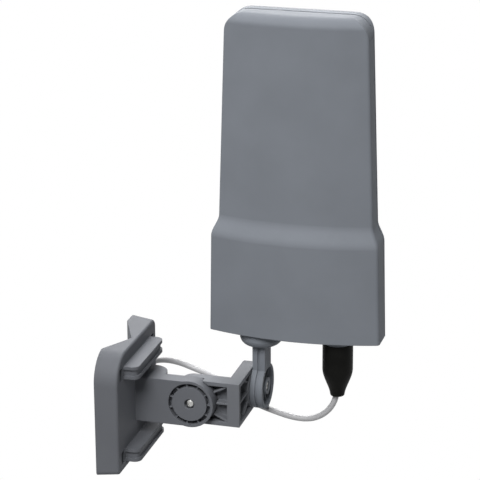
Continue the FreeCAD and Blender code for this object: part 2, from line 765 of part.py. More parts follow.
def housing_levels(inset="0"):
    """Height, half width, depth and corner radius of the housing's sections, drawn in by inset.

    They come in four runs: skirt, shoulder, upper part and top edge.
    """
    foot = ("Sizes.foot_half", "Sizes.foot_depth", "Sizes.skirt_corner_r")
    skirt = ("Sizes.skirt_half", "Sizes.skirt_depth", "Sizes.skirt_corner_r")
    upper = ("Sizes.upper_half", "Sizes.upper_depth", "Sizes.upper_corner_r")
    crown = ("Sizes.crown_half", "Sizes.crown_depth", "Sizes.crown_corner_r")
    edge_z = "(Sizes.housing_height - Sizes.top_edge_height)"
    shoulder = []
    for part in SHOULDER_STEPS:
        eased = part * part * (3 - 2 * part)
        z = f"(Sizes.skirt_height + (Sizes.shoulder_height - Sizes.skirt_height) * {part})"
        shoulder.append((z, *(f"({low} + ({high} - {low}) * {eased})" for low, high in zip(skirt, upper))))
    edge = []
    for angle in TOP_EDGE_ANGLES:
        z = f"({edge_z} + Sizes.top_edge_height * sin({angle}))"
        depth = f"(Sizes.crown_depth - Sizes.top_edge_depth * (1 - cos({angle})))"
        edge.append((z, crown[0], depth, crown[2]))
    runs = [[("0", *foot), shoulder[0]], shoulder, [shoulder[-1], edge[0]], edge]
    if inset == "0":
        return runs
    rows = [("Sizes.floor_thickness", *foot), *shoulder, edge[0]]
    top_half = "(Sizes.crown_half - Sizes.top_corner_r / 2)"
    rows.append((f"(Sizes.housing_height - {inset})", top_half, edge[-1][2], crown[2]))
    return [(z, f"({h} - {inset})", f"({d} - {inset})", f"({r} - {inset})") for z, h, d, r in rows]


def front_section(body, name, z, half, depth, corner_r):
    """Plan of the front cover at one level: straight sides, rounded corners and a bowed front."""
    bow = "Sizes.front_r"
    rim = f"-{FRONT_RIM}"
    run = f"({half} - {corner_r})"
    drop = f"sqrt(({bow} - {corner_r}) ^ 2 - {run} ^ 2)"
    side_y = f"({bow} - {depth} - {drop})"
    meet_x = f"({run} * {bow} / ({bow} - {corner_r}))"
    meet_y = f"({bow} - {depth} - {drop} * {bow} / ({bow} - {corner_r}))"
    drawing = sketch(body, name, "XY", z)
    outline(drawing, [
        (half, rim),
        (f"-{half}", rim),
        (f"-{half}", side_y, corner_r),
        (f"-{meet_x}", meet_y, bow),
        (meet_x, meet_y, corner_r),
        (half, side_y),
    ])
    return drawing


def top_corners(body, name):
    """Rounds the housing's two top corners as seen from the front."""
    relief = "Sizes.cut_relief"
    top = "Sizes.housing_height"
    radius = "Sizes.top_corner_r"
    edge = "Sizes.crown_half"
    drawing = sketch(body, name, "XZ")
    outline(drawing, [
        (edge, f"{top} - {radius}"),
        (f"{edge} + {relief}", f"{top} - {radius}"),
        (f"{edge} + {relief}", f"{top} + {relief}"),
        (f"{edge} - {radius}", f"{top} + {relief}"),
        (f"{edge} - {radius}", top, f"hollow {radius}"),
    ])
    outline(drawing, [
        (f"-{edge}", f"{top} - {radius}", f"hollow {radius}"),
        (f"-{edge} + {radius}", top),
        (f"-{edge} + {radius}", f"{top} + {relief}"),
        (f"-{edge} - {relief}", f"{top} + {relief}"),
        (f"-{edge} - {relief}", f"{top} - {radius}"),
    ])
    return pocket(body, drawing, "2 * (Sizes.skirt_depth + Sizes.back_depth)", both=True)


def screw_places():
    """Centres of the six cover screws as seen from the front, from the housing's foot."""
    places = {
        "low": ("Sizes.low_screw_x", "Sizes.low_screw_z"),
        "mid": ("(Sizes.board_width / 2 + Sizes.mid_screw_gap)", "Sizes.mid_screw_z"),
        "high": ("Sizes.high_screw_x", "(Sizes.housing_height - Sizes.high_screw_drop)"),
    }
    for row, (x, z) in places.items():
        for side in ("", "-"):
            yield f"{side}{x}", z, row


def front_cover():
    """Bowed front shell with a broad skirt, a curved shoulder and a rounded top edge."""
    body = new_body("front_cover", HOUSING_X, SEAM_Y, FOOT_Z)
    stacked_form(body, "cover", lambda name, *row: front_section(body, name, *row))
    inner = [front_section(body, f"cover_room_{i}", *row) for i, row in enumerate(housing_levels("Sizes.wall"))]
    loft(body, inner, "cover_room", hollow=True)
    top_corners(body, "cover_top_corners")

    depths = {"low": "Sizes.foot_depth", "mid": "Sizes.upper_depth", "high": "Sizes.crown_depth"}
    for index, (x, z, row) in enumerate(screw_places()):
        sag = f"(Sizes.front_r - sqrt(Sizes.front_r ^ 2 - ({x}) ^ 2))"
        length = f"{depths[row]} - {sag} - Sizes.wall - {FRONT_RIM}"
        boss = sketch(body, f"cover_boss_{index}", "XZ", FRONT_RIM)
        circle(boss, x, z, "Sizes.screw_boss_r")
        pad(body, boss, length)
    holes = sketch(body, "cover_screw_holes", "XZ", FRONT_RIM)
    for x, z, row in screw_places():
        circle(holes, x, z, "Sizes.screw_r + Sizes.pin_clearance")
    pocket(body, holes, "Sizes.screw_length - Sizes.back_depth + Sizes.screw_recess", back=True)

    stem_x, stem_y = "-Sizes.stem_offset", "-Sizes.seam_setback"
    relief = "Sizes.cut_relief"
    collar = sketch(body, "boot_collar", "XY", "-Sizes.collar_height")
    circle(collar, "Sizes.socket_offset", stem_y, "Sizes.collar_r")
    circle(collar, "Sizes.socket_offset", stem_y, "Sizes.collar_bore_r")
    pad(body, collar, "Sizes.collar_height")
    openings = sketch(body, "cover_floor_holes", "XY", f"Sizes.floor_thickness + {relief}")
    circle(openings, stem_x, stem_y, "Sizes.spigot_r + Sizes.pin_clearance")
    circle(openings, "Sizes.socket_offset", stem_y, "Sizes.socket_r + Sizes.pin_clearance")
    pocket(body, openings, f"Sizes.floor_thickness + 2 * {relief}")
    return body


def back_section(body, name, z, half, depth, corner_r):
    drawing = sketch(body, name, "XY", z)
    outline(drawing, [
        (f"-{half}", FRONT_RIM),
        (half, FRONT_RIM),
        (half, f"{depth} - {corner_r}", corner_r),
        (f"{half} - {corner_r}", depth),
        (f"-{half} + {corner_r}", depth, corner_r),
        (f"-{half}", f"{depth} - {corner_r}"),
    ])
    return drawing


def back_cover():
    """Shallow tray that closes the housing, with screw bosses and posts for the circuit board."""
    body = new_body("back_cover", HOUSING_X, SEAM_Y, FOOT_Z)
    wall = "Sizes.wall"
    depth = "Sizes.back_depth"
    stacked_form(
        body, "tray", lambda name, z, half, *_: back_section(body, name, z, half, depth, "Sizes.back_corner_r")
    )
    inner = [
        back_section(body, f"tray_room_{i}", z, half, f"({depth} - {wall})", f"(Sizes.back_corner_r - {wall})")
        for i, (z, half, _, _) in enumerate(housing_levels(wall))
    ]
    loft(body, inner, "tray_room", hollow=True)
    top_corners(body, "tray_top_corners")

    bosses = sketch(body, "tray_bosses", "XZ", f"-{FRONT_RIM}")
    for x, z, row in screw_places():
        circle(bosses, x, z, "Sizes.screw_boss_r + Sizes.screw_r")
    pad(body, bosses, f"{depth} - {FRONT_RIM} - {wall} / 2", back=True)
    posts = sketch(body, "board_posts", "XZ", f"-({BOARD_Y} + Sizes.board_thickness - {SEAM_Y})")
    for x, z in post_places():
        circle(posts, x, z, "Sizes.post_r")
    pad(body, posts, f"{SEAM_Y} - {BOARD_Y} - Sizes.board_thickness + {depth} - {wall} / 2", back=True)

    sinks = sketch(body, "tray_screw_sinks", "XZ", f"-{depth}")
    holes = sketch(body, "tray_screw_holes", "XZ", f"-{depth}")
    for x, z, row in screw_places():
        circle(sinks, x, z, "Sizes.screw_head_r + Sizes.pin_clearance")
        circle(holes, x, z, "Sizes.screw_r + Sizes.pin_clearance")
    pocket(body, sinks, "Sizes.screw_recess", back=True)
    pocket(body, holes, f"{depth} + Sizes.cut_relief", back=True)
    pilots = sketch(body, "post_pilots", "XZ", f"-({BOARD_Y} + Sizes.board_thickness - {SEAM_Y})")
    for x, z in post_places():
        circle(pilots, x, z, "Sizes.post_screw_r + Sizes.pin_clearance")
    pocket(body, pilots, "Sizes.post_screw_length - Sizes.board_thickness + Sizes.cut_relief")
    return body


def housing_seal():
    """Thin gasket between the covers, set in from their edges so that the seam shows as a dark line."""
    body = new_body("housing_seal", HOUSING_X, SEAM_Y, FOOT_Z)
    drawing = sketch(body, "seal_outline", "XZ")
    for inset in ("Sizes.seam_recess", "Sizes.wall"):
        top = f"Sizes.housing_height - {inset}"
        radius = f"(Sizes.top_corner_r - {inset})"
        crown = f"(Sizes.crown_half - {inset})"
        right = [
            (f"Sizes.foot_half - {inset}", inset),
            (f"Sizes.skirt_half - {inset}", "Sizes.skirt_height"),
            (f"Sizes.upper_half - {inset}", "Sizes.shoulder_height"),
            (crown, "Sizes.housing_height - Sizes.top_edge_height - Sizes.top_corner_r"),
        ]
        left = [(f"-({x})", z) for x, z in reversed(right)]
        outline(drawing, right + [
            (crown, f"{top} - {radius}", radius),
            (f"{crown} - {radius}", top),
            (f"-{crown} + {radius}", top, radius),
            (f"-{crown}", f"{top} - {radius}"),
        ] + left)
    pad(body, drawing, "Sizes.seam_width", both=True)
    return body


def post_places():
    """Centres of the four board posts as seen from the front, from the housing's foot."""
    across = "(Sizes.board_width / 2 - Sizes.post_inset)"
    low = "(Sizes.board_foot + Sizes.post_inset + Sizes.board_corner)"
    high = f"(Sizes.board_foot + {BOARD_HEIGHT} - Sizes.post_inset)"
    return [(f"-{across}", high), (across, high), (f"-{across}", low), (across, low)]


def circuit_board():
    body = new_body("circuit_board", HOUSING_X, BOARD_Y, FOOT_Z)
    half = "(Sizes.board_width / 2)"
    foot = "Sizes.board_foot"
    drawing = sketch(body, "board_outline", "XZ")
    outline(drawing, [
        (f"-{half} + Sizes.board_corner", foot),
        (half, foot),
        (half, f"{foot} + {BOARD_HEIGHT}"),
        (f"-{half}", f"{foot} + {BOARD_HEIGHT}"),
        (f"-{half}", f"{foot} + Sizes.board_corner"),
    ])
    for x, z in post_places():
        circle(drawing, x, z, "Sizes.post_screw_r + Sizes.pin_clearance")
    pad(body, drawing, "Sizes.board_thickness", back=True)
    return body


def radiator(label, z, height):
    """Folded sheet-metal loop that stands off the board on two feet."""
    body = new_body(label, HOUSING_X, BOARD_Y, f"{FOOT_Z} + {z}")
    half = "(Sizes.radiator_width / 2)"
    strip = "Sizes.radiator_strip"
    face = "(Sizes.radiator_stand + Sizes.radiator_thickness)"
    loop = sketch(body, f"{label}_loop", "XZ", face)
    rectangle(loop, f"-{half}", "0", half, height)
    rectangle(loop, f"-{half} + {strip}", strip, f"{half} - {strip}", f"{height} - {strip}")
    pad(body, loop, "Sizes.radiator_thickness", back=True)
    feet = sketch(body, f"{label}_feet", "XZ", "Sizes.radiator_stand")
    for side in ("", "-"):
        rectangle(
            feet,
            f"{side}{strip} / 2 - {strip} / 4",
            "0",
            f"{side}{strip} / 2 + {strip} / 4",
            "Sizes.radiator_thickness",
        )
    pad(body, feet, "Sizes.radiator_stand", back=True)
    return body


def amplifier_shield():
    """Open-backed tin over the amplifier, seated on the board."""
    body = new_body("amplifier_shield", HOUSING_X, BOARD_Y, f"{FOOT_Z} + Sizes.shield_z")
    half = "(Sizes.shield_width / 2)"
    can = sketch(body, "shield_outline", "XZ")
    rectangle(can, f"-{half}", "0", half, "Sizes.shield_height")
    pad(body, can, "Sizes.shield_depth")
    skin = "Sizes.shield_wall"
    room = sketch(body, "shield_room", "XZ")
    rectangle(room, f"-{half} + {skin}", skin, f"{half} - {skin}", f"Sizes.shield_height - {skin}")
    pocket(body, room, f"Sizes.shield_depth - {skin}", back=True)
    return body


def f_socket():
    """Threaded coaxial socket: a block on the board, a flange on the floor and a barrel through it."""
    body = new_body("f_socket", SOCKET_X, TILT_Y, FLOOR_Z)
    drop = "(Sizes.floor_thickness + Sizes.socket_drop)"
    profile = sketch(body, "socket_profile", "XZ")
    outline(profile, [
        ("Sizes.socket_bore_r", f"-{drop}"),
        ("Sizes.socket_r", f"-{drop}"),
        ("Sizes.socket_r", "0"),
        ("Sizes.socket_flange_r", "0"),
        ("Sizes.socket_flange_r", "Sizes.socket_flange_height"),
        ("Sizes.socket_bore_r", "Sizes.socket_flange_height"),
    ])
    spin(body, profile)
    block = sketch(body, "socket_block", "XY", "Sizes.socket_flange_height")
    side = "(Sizes.socket_block / 2)"
    rectangle(block, f"-{side}", f"-{side}", side, f"{BOARD_Y} - {TILT_Y}")
    pad(body, block, "Sizes.socket_block_height - Sizes.socket_flange_height")
    return body


def fasteners():
    roll_length = f"(Sizes.arm_thickness - Sizes.bolt_recess_depth + 2 * Sizes.fit_gap + Sizes.link_leg_thickness)"
    stack = "(Sizes.washer_thickness + Sizes.nut_height + Sizes.bolt_tail)"
    thread = "Sizes.bolt_r + 0.02"
    seat_y = f"-{ARM_NEAR} + Sizes.bolt_recess_depth"
    bolt("roll_bolt", "Sizes.bolt_r", f"{roll_length} + {stack}", ROLL_X, seat_y, "0", AGAINST_Y)
    washer_y = f"{LINK_FAR} + Sizes.fit_gap"
    washer(
        "roll_washer", "Sizes.washer_r", thread, "Sizes.washer_thickness", ROLL_X, washer_y, "0", ALONG_Y
    )
    hex_nut(
        "roll_nut", "Sizes.nut_corner_r", thread, "Sizes.nut_height",
        ROLL_X, f"{washer_y} + Sizes.washer_thickness", "0", ALONG_Y,
    )
    seat_x = f"{STEM_X} + Sizes.stem_thickness / 2 - Sizes.bolt_recess_depth + Sizes.fit_gap"
    back_x = f"{CORNER_X} - Sizes.link_cross_thickness"
    tilt_length = f"({seat_x} - ({back_x}) + {stack})"
    bolt("tilt_bolt", "Sizes.bolt_r", tilt_length, seat_x, TILT_Y, "0", ALONG_X)
    washer(
        "tilt_washer", "Sizes.washer_r", thread, "Sizes.washer_thickness",
        f"{back_x} - Sizes.washer_thickness", TILT_Y, "0", ALONG_X,
    )
    hex_nut(
        "tilt_nut", "Sizes.nut_corner_r", thread, "Sizes.nut_height",
        f"{back_x} - Sizes.washer_thickness - Sizes.nut_height", TILT_Y, "0", ALONG_X,
    )
    spigot_top = f"{FLOOR_Z} + Sizes.fit_gap"
    washer(
        "swivel_washer", "Sizes.swivel_washer_r", "Sizes.swivel_screw_r + Sizes.pin_clearance",
        "Sizes.swivel_washer_thickness", STEM_X, TILT_Y, spigot_top, UPRIGHT,
    )
    bolt(
        "swivel_screw", "Sizes.swivel_screw_r", "Sizes.swivel_screw_length",
        STEM_X, TILT_Y, f"{spigot_top} + Sizes.swivel_washer_thickness", UPRIGHT,
    )
    floor_under = f"{FOOT_Z} - Sizes.socket_washer_thickness"
    socket_bore = "Sizes.socket_r + Sizes.pin_clearance"
    washer(
        "socket_washer", "Sizes.socket_washer_r", socket_bore, "Sizes.socket_washer_thickness",
        SOCKET_X, TILT_Y, floor_under, UPRIGHT,
    )
    hex_nut(
        "socket_nut", "Sizes.socket_nut_corner_r", socket_bore, "Sizes.socket_nut_height",
        SOCKET_X, TILT_Y, f"{floor_under} - Sizes.socket_nut_height", UPRIGHT,
    )


def screw_group(label, places, radius, head_r, head_height, length, seat_y, turn):
    """Identical screws as one group of separate solids, heads seated at seat_y."""
    screws = []
    for index, (x, z) in enumerate(places):
        at_x, at_z = f"{HOUSING_X} + ({x})", f"{FOOT_Z} + ({z})"
        shank = cylinder(f"{label}_shank_{index}", radius, length, at_x, seat_y, at_z, turn)
        opposite = ALONG_Y if turn == AGAINST_Y else AGAINST_Y
        head = cylinder(f"{label}_head_{index}", head_r, head_height, at_x, seat_y, at_z, opposite)
        screw = doc.addObject("Part::Fuse", f"{label}_{index}")
        screw.Base = head
        screw.Tool = shank
        screws.append(screw)
    group = doc.addObject("Part::Compound", label)
    group.Links = screws
    return keep(group, label)


def plug_and_boot():
    bore = "Sizes.socket_r + Sizes.pin_clearance"
    nut_z = f"{BOOT_TOP} - Sizes.plug_nut_drop - Sizes.plug_nut_height"
    hex_nut(
        "f_plug_nut", "Sizes.plug_nut_corner_r", bore, "Sizes.plug_nut_height", SOCKET_X, TILT_Y, nut_z, UPRIGHT
    )
    ferrule_z = f"{nut_z} - Sizes.ferrule_length"
    sleeve = cylinder(
        "f_plug_sleeve", "Sizes.ferrule_r", "Sizes.ferrule_length", SOCKET_X, TILT_Y, ferrule_z
    )
    hole = cylinder(
        "f_plug_hole", f"{CABLE_R} + Sizes.pin_clearance", "Sizes.ferrule_length", SOCKET_X, TILT_Y, ferrule_z
    )
    keep(cut("f_plug_body", sleeve, hole), "f_plug_body")

    body = new_body("cable_boot", SOCKET_X, TILT_Y, BOOT_TOP)
    profile = sketch(body, "boot_profile", "XZ")
    outline(profile, [
        ("Sizes.boot_tip_bore_r", "-Sizes.boot_length"),
        ("Sizes.boot_tip_r", "-Sizes.boot_length"),
        ("Sizes.boot_r", "-Sizes.boot_straight"),
        ("Sizes.boot_r", "0"),
        ("Sizes.boot_cavity_r", "0"),
        ("Sizes.boot_cavity_r", "-Sizes.boot_cavity_depth"),
        ("Sizes.boot_throat_r", "-Sizes.boot_cavity_depth"),
        ("Sizes.boot_throat_r", "-Sizes.boot_throat_depth"),
        ("Sizes.boot_tip_bore_r", "-Sizes.boot_throat_depth"),
    ])
    spin(body, profile)
    soften(
        body,
        "Sizes.boot_waist_r",
        lambda e: len(e.Vertexes) == 1 and e.BoundBox.XLength > number("2 * Sizes.boot_r - 0.01")
        and e.BoundBox.ZMin < -1,
        "boot_waist",
    )


# Route of the cable's middle line, from the plug to the hole in the wall bracket's far side
CABLE_ROUTE = [
    (148.5, 40.6, 19.3),
    (148.5, 40.6, 6.6),
    (147.7, 40.6, -2.9),
    (144.1, 40.6, -11.4),
    (137.6, 40.6, -18.0),
    (128.7, 40.8, -22.0),
    (116.6, 41.3, -22.3),
    (103.2, 44.0, -20.5),
    (89.3, 49.3, -19.3),
    (77.8, 54.2, -16.9),
    (67.3, 59.4, -13.1),
    (57.5, 63.2, -9.8),
    (47.3, 66.0, -7.1),
    (35.2, 69.0, -4.8),
    (24.0, 67.4, -0.5),
    (14.7, 60.5, 3.1),
    (9.5, 49.8, 5.0),
    (9.5, 38.0, 5.0),
]
ARC_SHARE = 0.45


def rounded_path(points):
    """Straight runs joined by tangent arcs as large as the two runs allow."""
    edges, radii = [], []
    start = points[0]
    for before, here, after in zip(points, points[1:], points[2:]):
        inward, onward = here - before, after - here
        turn = inward.getAngle(onward)
        reach = ARC_SHARE * min(inward.Length, onward.Length)
        radii.append(reach / math.tan(turn / 2))
        enter = here - inward.normalize() * reach
        leave = here + onward.normalize() * reach
        bisector = ((enter + leave) / 2 - here).normalize()
        radius = radii[-1]
        centre = here + bisector * math.hypot(radius, reach)
        middle = centre - bisector * radius
        edges.append(Part.LineSegment(start, enter).toShape())
        edges.append(Part.Arc(enter, middle, leave).toShape())
        start = leave
    edges.append(Part.LineSegment(start, points[-1]).toShape())
    return Part.Wire(edges), radii


def coax_cable():
    path, radii = rounded_path([Vector(*point) for point in CABLE_ROUTE])
    radius = number(CABLE_R)
    along = Vector(*CABLE_ROUTE[1]) - Vector(*CABLE_ROUTE[0])
    section = Part.Wire([Part.makeCircle(radius, Vector(*CABLE_ROUTE[0]), along)])
    tube = path.makePipeShell([section], True, True)
    expected = math.pi * radius ** 2 * path.Length
    print("cable length", round(path.Length, 1), "smallest radius", round(min(radii), 1))
    print("cable radii", [round(r, 1) for r in radii])
    print("cable volume", round(tube.Volume, 1), "section times length", round(expected, 1))
    made = doc.addObject("Part::Feature", "coax_cable")
    made.Shape = tube
    return keep(made, "coax_cable")


wall_bracket()
link_bracket()
stem()
front_cover()
back_cover()
housing_seal()
circuit_board()
radiator("upper_radiator", "Sizes.upper_radiator_z", "Sizes.upper_radiator_height")
radiator("lower_radiator", "Sizes.lower_radiator_z", "Sizes.lower_radiator_height")
amplifier_shield()
f_socket()
fasteners()
screw_group(
    "cover_screws",
    [(x, z) for x, z, row in screw_places()],
    "Sizes.screw_r", "Sizes.screw_head_r", "Sizes.screw_head_height", "Sizes.screw_length",
    f"{SEAM_Y} + Sizes.back_depth - Sizes.screw_recess", AGAINST_Y,
)
screw_group(
    "board_screws",
    post_places(),
    "Sizes.post_screw_r", "Sizes.post_screw_head_r", "Sizes.screw_head_height", "Sizes.post_screw_length",
    BOARD_Y, ALONG_Y,
)
plug_and_boot()
coax_cable()
doc.recompute()

faults = [o.Name for o in doc.Objects if "Invalid" in o.State or "Error" in o.State]
for part in sub_parts:
    if part.Shape.isNull() or not part.Shape.isValid() or not part.Shape.Solids:
        faults.append(part.Label)
if faults:
    raise RuntimeError(f"these objects failed: {sorted(set(faults))}")

os.makedirs("parts", exist_ok=True)
for part in sub_parts:
    part.Shape.exportStep(os.path.join("parts", f"{part.Label}.step"))
print(len(sub_parts), "sub-parts written")
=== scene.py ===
"""Looks of a wall-mounted television antenna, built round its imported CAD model. Metres, in the CAD frame."""

import json
import math

import bpy
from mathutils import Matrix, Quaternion, Vector

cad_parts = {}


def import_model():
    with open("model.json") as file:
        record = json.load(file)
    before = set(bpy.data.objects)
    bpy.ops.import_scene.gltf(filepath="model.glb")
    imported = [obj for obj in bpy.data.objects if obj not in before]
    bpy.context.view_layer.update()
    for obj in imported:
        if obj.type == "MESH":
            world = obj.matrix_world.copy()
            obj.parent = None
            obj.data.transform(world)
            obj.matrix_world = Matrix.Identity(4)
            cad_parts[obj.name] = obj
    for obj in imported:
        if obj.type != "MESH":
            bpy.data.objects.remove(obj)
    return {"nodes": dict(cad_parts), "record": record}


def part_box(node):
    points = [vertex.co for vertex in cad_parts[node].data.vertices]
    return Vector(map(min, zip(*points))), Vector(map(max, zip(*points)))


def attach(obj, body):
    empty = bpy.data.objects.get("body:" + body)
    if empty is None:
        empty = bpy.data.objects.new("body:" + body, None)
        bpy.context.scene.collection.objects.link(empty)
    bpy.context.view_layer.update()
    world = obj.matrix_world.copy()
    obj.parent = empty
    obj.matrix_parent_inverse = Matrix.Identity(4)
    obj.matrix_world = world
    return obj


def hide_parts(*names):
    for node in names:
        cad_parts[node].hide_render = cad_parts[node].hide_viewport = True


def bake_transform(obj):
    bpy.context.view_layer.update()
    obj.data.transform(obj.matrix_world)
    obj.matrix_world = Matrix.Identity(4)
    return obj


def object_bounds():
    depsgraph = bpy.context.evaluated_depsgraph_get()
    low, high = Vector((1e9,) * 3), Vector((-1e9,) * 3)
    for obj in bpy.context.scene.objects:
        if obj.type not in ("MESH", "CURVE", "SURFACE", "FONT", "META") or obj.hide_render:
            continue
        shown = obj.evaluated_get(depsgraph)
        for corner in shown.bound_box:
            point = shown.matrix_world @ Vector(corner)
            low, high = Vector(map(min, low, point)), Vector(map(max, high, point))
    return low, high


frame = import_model()
cad_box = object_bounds()
nodes = frame["nodes"]
scene = bpy.context.scene
scene.view_settings.view_transform = "Standard"

MM = 0.001

# Camera, fitted to the photograph
IMAGE_WIDTH_PX = 480
FOCAL_PX = 2200.0
SENSOR_MM = 36.0
CAMERA_EYE = Vector((476.6, -1330.5, 602.0)) * MM
CAMERA_TARGET = Vector((81.8, 30.0, 110.1)) * MM
CAMERA_ROLL = math.radians(-0.33)

# Coaxial cable: the route's points are those of the CAD model
CABLE_DIAMETER = 4.2 * MM
CABLE_ROUTE_MM = [
    (148.5, 40.6, 19.3),
    (148.5, 40.6, 6.6),
    (147.7, 40.6, -2.9),
    (144.1, 40.6, -11.4),
    (137.6, 40.6, -18.0),
    (128.7, 40.8, -22.0),
    (116.6, 41.3, -22.3),
    (103.2, 44.0, -20.5),
    (89.3, 49.3, -19.3),
    (77.8, 54.2, -16.9),
    (67.3, 59.4, -13.1),
    (57.5, 63.2, -9.8),
    (47.3, 66.0, -7.1),
    (35.2, 69.0, -4.8),
    (24.0, 67.4, -0.5),
    (14.7, 60.5, 3.1),
    (9.5, 49.8, 5.0),
    (9.5, 38.0, 5.0),
]
CABLE_SIDES = 20
CABLE_SAMPLES_PER_POINT = 16
# Where one section of the cable hands over to the next, and the stretch of cable about each joint
SWIVEL_END_X = 94.0 * MM
TILT_END_X = 63.0 * MM
SWIVEL_BEND_X = (96.0 * MM, 146.0 * MM)
TILT_BEND_X = (65.0 * MM, 92.0 * MM)
ROLL_BEND_X = (10.0 * MM, 63.0 * MM)

# Rubber boot, from its top down: it is straight, then narrows in an S-shaped curve to a short neck
BOOT_R = 10.6 * MM
BOOT_NECK_R = 4.9 * MM
BOOT_TAPER_FROM = 19.5 * MM
BOOT_TAPER_TO = 40.5 * MM
BOOT_LIP_R = 0.7 * MM
# Its bore in steps of (radius, depth at the step's lower end), as in the CAD model
BOOT_BORE = [(7.2 * MM, 17.5 * MM), (4.0 * MM, 28.0 * MM), (2.9 * MM, 39.5 * MM)]
BOOT_SIDES = 64
BOOT_TAPER_RINGS = 28
BOOT_LIP_STEPS = 4
BOOT_SHARP_ANGLE = math.radians(40)

# Moulded edges are broken by about this much
EDGE_RADIUS = 0.7 * MM
EDGE_SAMPLES = 6
# Plastic and rubber are matt, so that the white surroundings barely show in them
PLASTIC_SPECULAR = 0.12
RUBBER_SPECULAR = 0.05

# Stage: the floor lies below the part and bounces little light back on it
FLOOR_DROP = 0.5
FLOOR_HALF = 5.0
FLOOR_TONE = 0.3
WORLD_STRENGTH = 0.03
# Soft lamps, all aimed at the part's middle: name, place, width and height, and power in watts
MIDDLE = (0.1, 0.03, 0.12)
LAMPS = [
    ("key_softbox", (0.05, -2.1, 2.35), (1.4, 1.4), 98.0),
    ("top_softbox", (-0.5, 0.1, 1.45), (1.0, 0.9), 12.5),
    ("right_fill", (1.8, -0.4, 0.5), (1.0, 1.0), 3.5),
    ("left_fill", (-1.4, -0.8, 0.6), (1.0, 1.0), 3.0),
    ("back_softbox", (-0.3, 1.4, 1.0), (1.0, 1.0), 28.0),
]


def node_tree(name):
    material = bpy.data.materials.new(name)
    material.use_nodes = True
    tree = material.node_tree
    return material, tree, tree.nodes["Principled BSDF"]


def add(tree, kind, **inputs):
    """A node with its inputs set by name, with _ for a space."""
    made = tree.nodes.new(kind)
    for key, value in inputs.items():
        made.inputs[key.replace("_", " ")].default_value = value
    return made


def object_noise(tree, scale, detail=2.0, roughness=0.5):
    """Noise in the object's own coordinates, with scale in patches per metre."""
    coordinates = tree.nodes.new("ShaderNodeTexCoord")
    noise = add(tree, "ShaderNodeTexNoise", Scale=scale, Detail=detail, Roughness=roughness)
    tree.links.new(coordinates.outputs["Object"], noise.inputs["Vector"])
    return noise.outputs["Fac"]


def spread(tree, value, low, high):
    """Maps a noise's middle range to low and high."""
    made = add(tree, "ShaderNodeMapRange", From_Min=0.35, From_Max=0.65, To_Min=low, To_Max=high)
    tree.links.new(value, made.inputs["Value"])
    return made.outputs["Result"]


def tinted(tree, value, dark, light):
    """A colour between dark and light, by a noise."""
    made = tree.nodes.new("ShaderNodeMix")
    made.data_type = "RGBA"
    colours = [socket for socket in made.inputs if socket.type == "RGBA"]
    colours[0].default_value = (*dark, 1.0)
    colours[1].default_value = (*light, 1.0)
    tree.links.new(spread(tree, value, 0.0, 1.0), made.inputs["Factor"])
    return next(socket for socket in made.outputs if socket.type == "RGBA")


def bump(tree, shader, heights, strength, normal=None):
    """Adds bumps of (height source, depth in metres) one on another, over any normal given."""
    for height, depth in heights:
        made = add(tree, "ShaderNodeBump", Strength=strength, Distance=depth)
        tree.links.new(height, made.inputs["Height"])
        if normal is not None:
            tree.links.new(normal, made.inputs["Normal"])
        normal = made.outputs["Normal"]
    tree.links.new(normal, shader.inputs["Normal"])


def shade(colour, factor):
    return tuple(channel * factor for channel in colour)


def moulded_plastic(name, colour, roughness, grain, depth):
    """Spark-eroded moulded plastic: fine even grain, faint flow marks and a little change in gloss."""
    material, tree, shader = node_tree(name)
    flow = object_noise(tree, 28.0, detail=3.0)
    fine = object_noise(tree, grain, detail=3.0, roughness=0.6)
    colour_now = tinted(tree, flow, shade(colour, 0.965), shade(colour, 1.035))
    tree.links.new(colour_now, shader.inputs["Base Color"])
    tree.links.new(spread(tree, fine, roughness - 0.06, roughness + 0.06), shader.inputs["Roughness"])
    edges = add(tree, "ShaderNodeBevel", Radius=EDGE_RADIUS)
    edges.samples = EDGE_SAMPLES
    bump(tree, shader, [(fine, depth)], 0.5, edges.outputs["Normal"])
    shader.inputs["Specular IOR Level"].default_value = PLASTIC_SPECULAR
    return material


def rubber(name, colour, roughness):
    material, tree, shader = node_tree(name)
    fine = object_noise(tree, 1500.0, detail=4.0)
    cloud = object_noise(tree, 90.0)
    tree.links.new(tinted(tree, cloud, shade(colour, 0.8), shade(colour, 1.2)), shader.inputs["Base Color"])
    tree.links.new(spread(tree, fine, roughness - 0.08, roughness + 0.08), shader.inputs["Roughness"])
    bump(tree, shader, [(fine, 0.00004)], 0.4)
    shader.inputs["Specular IOR Level"].default_value = RUBBER_SPECULAR
    return material


def plated_metal(name, colour, roughness):
    """Bright plating with fine turning marks and a slightly cloudy gloss."""
    material, tree, shader = node_tree(name)
    fine = object_noise(tree, 2600.0, detail=3.0)
    cloud = object_noise(tree, 240.0)
    tree.links.new(tinted(tree, cloud, shade(colour, 0.9), colour), shader.inputs["Base Color"])
    tree.links.new(spread(tree, fine, roughness - 0.07, roughness + 0.07), shader.inputs["Roughness"])
    shader.inputs["Metallic"].default_value = 1.0
    bump(tree, shader, [(fine, 0.000015)], 0.3)
    return material


def cable_jacket(name, colour):
    """Extruded jacket: smooth, slightly waxy, with faint lengthwise unevenness."""
    material, tree, shader = node_tree(name)
    cloud = object_noise(tree, 120.0)
    fine = object_noise(tree, 900.0)
    tree.links.new(tinted(tree, cloud, shade(colour, 0.95), colour), shader.inputs["Base Color"])
    tree.links.new(spread(tree, fine, 0.36, 0.46), shader.inputs["Roughness"])
    bump(tree, shader, [(cloud, 0.00006)], 0.3)
    return material


